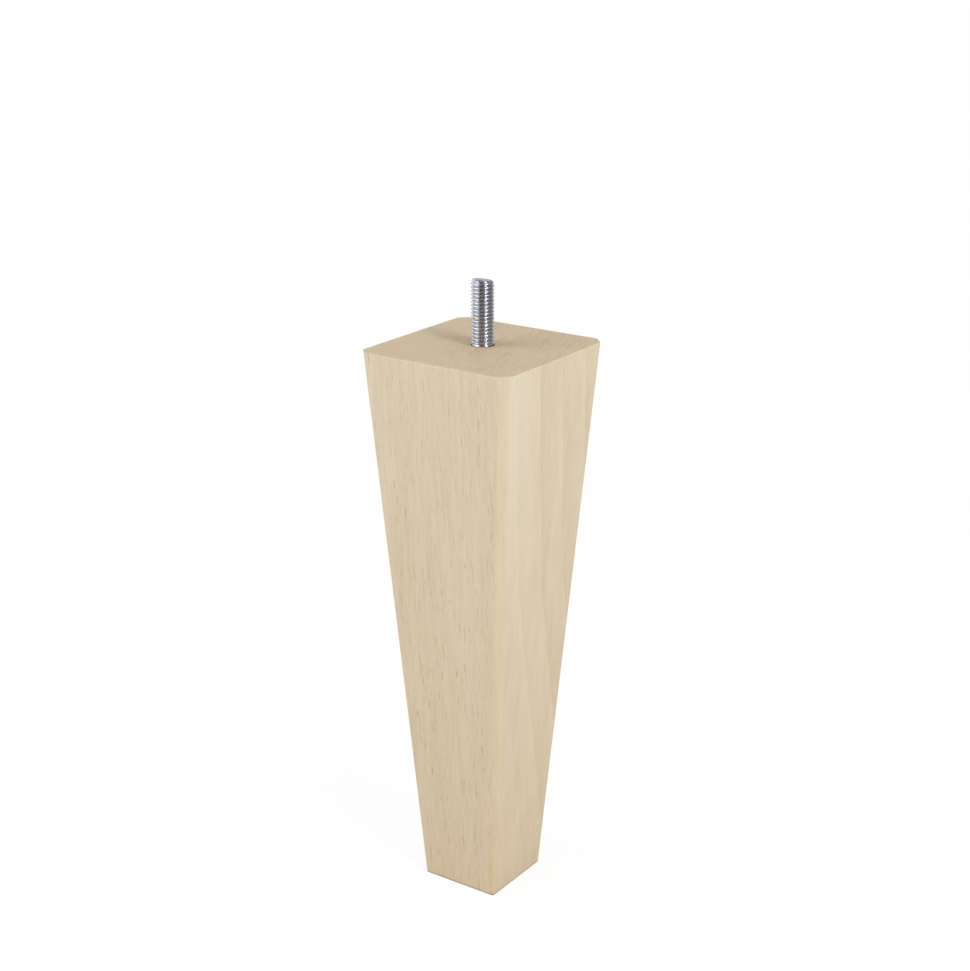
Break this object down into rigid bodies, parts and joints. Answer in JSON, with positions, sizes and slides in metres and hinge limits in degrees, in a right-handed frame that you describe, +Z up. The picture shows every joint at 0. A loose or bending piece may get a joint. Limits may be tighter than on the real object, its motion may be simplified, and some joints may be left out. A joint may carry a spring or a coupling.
{
  "type": "tapered furniture leg",
  "caption": "Square tapered furniture leg of solid beech, wide at the top, with bevelled arrises and a threaded steel stud that screws up into a sofa, bed or cabinet base.",
  "frame": {"origin": "middle of the foot, on the floor", "axes": "+Z up along the leg towards the stud; X and Y are square to the four side faces"},
  "size_m": [0.06, 0.06, 0.223],
  "materials": {
    "beech": "raw beech, planed and sanded smooth, unvarnished",
    "zinc_plated_steel": "bright zinc plating on a rolled thread"
  },
  "bodies": {
    "root": {"leg_body": "beech", "hanger_bolt": "zinc_plated_steel"}
  },
  "joints": []
}
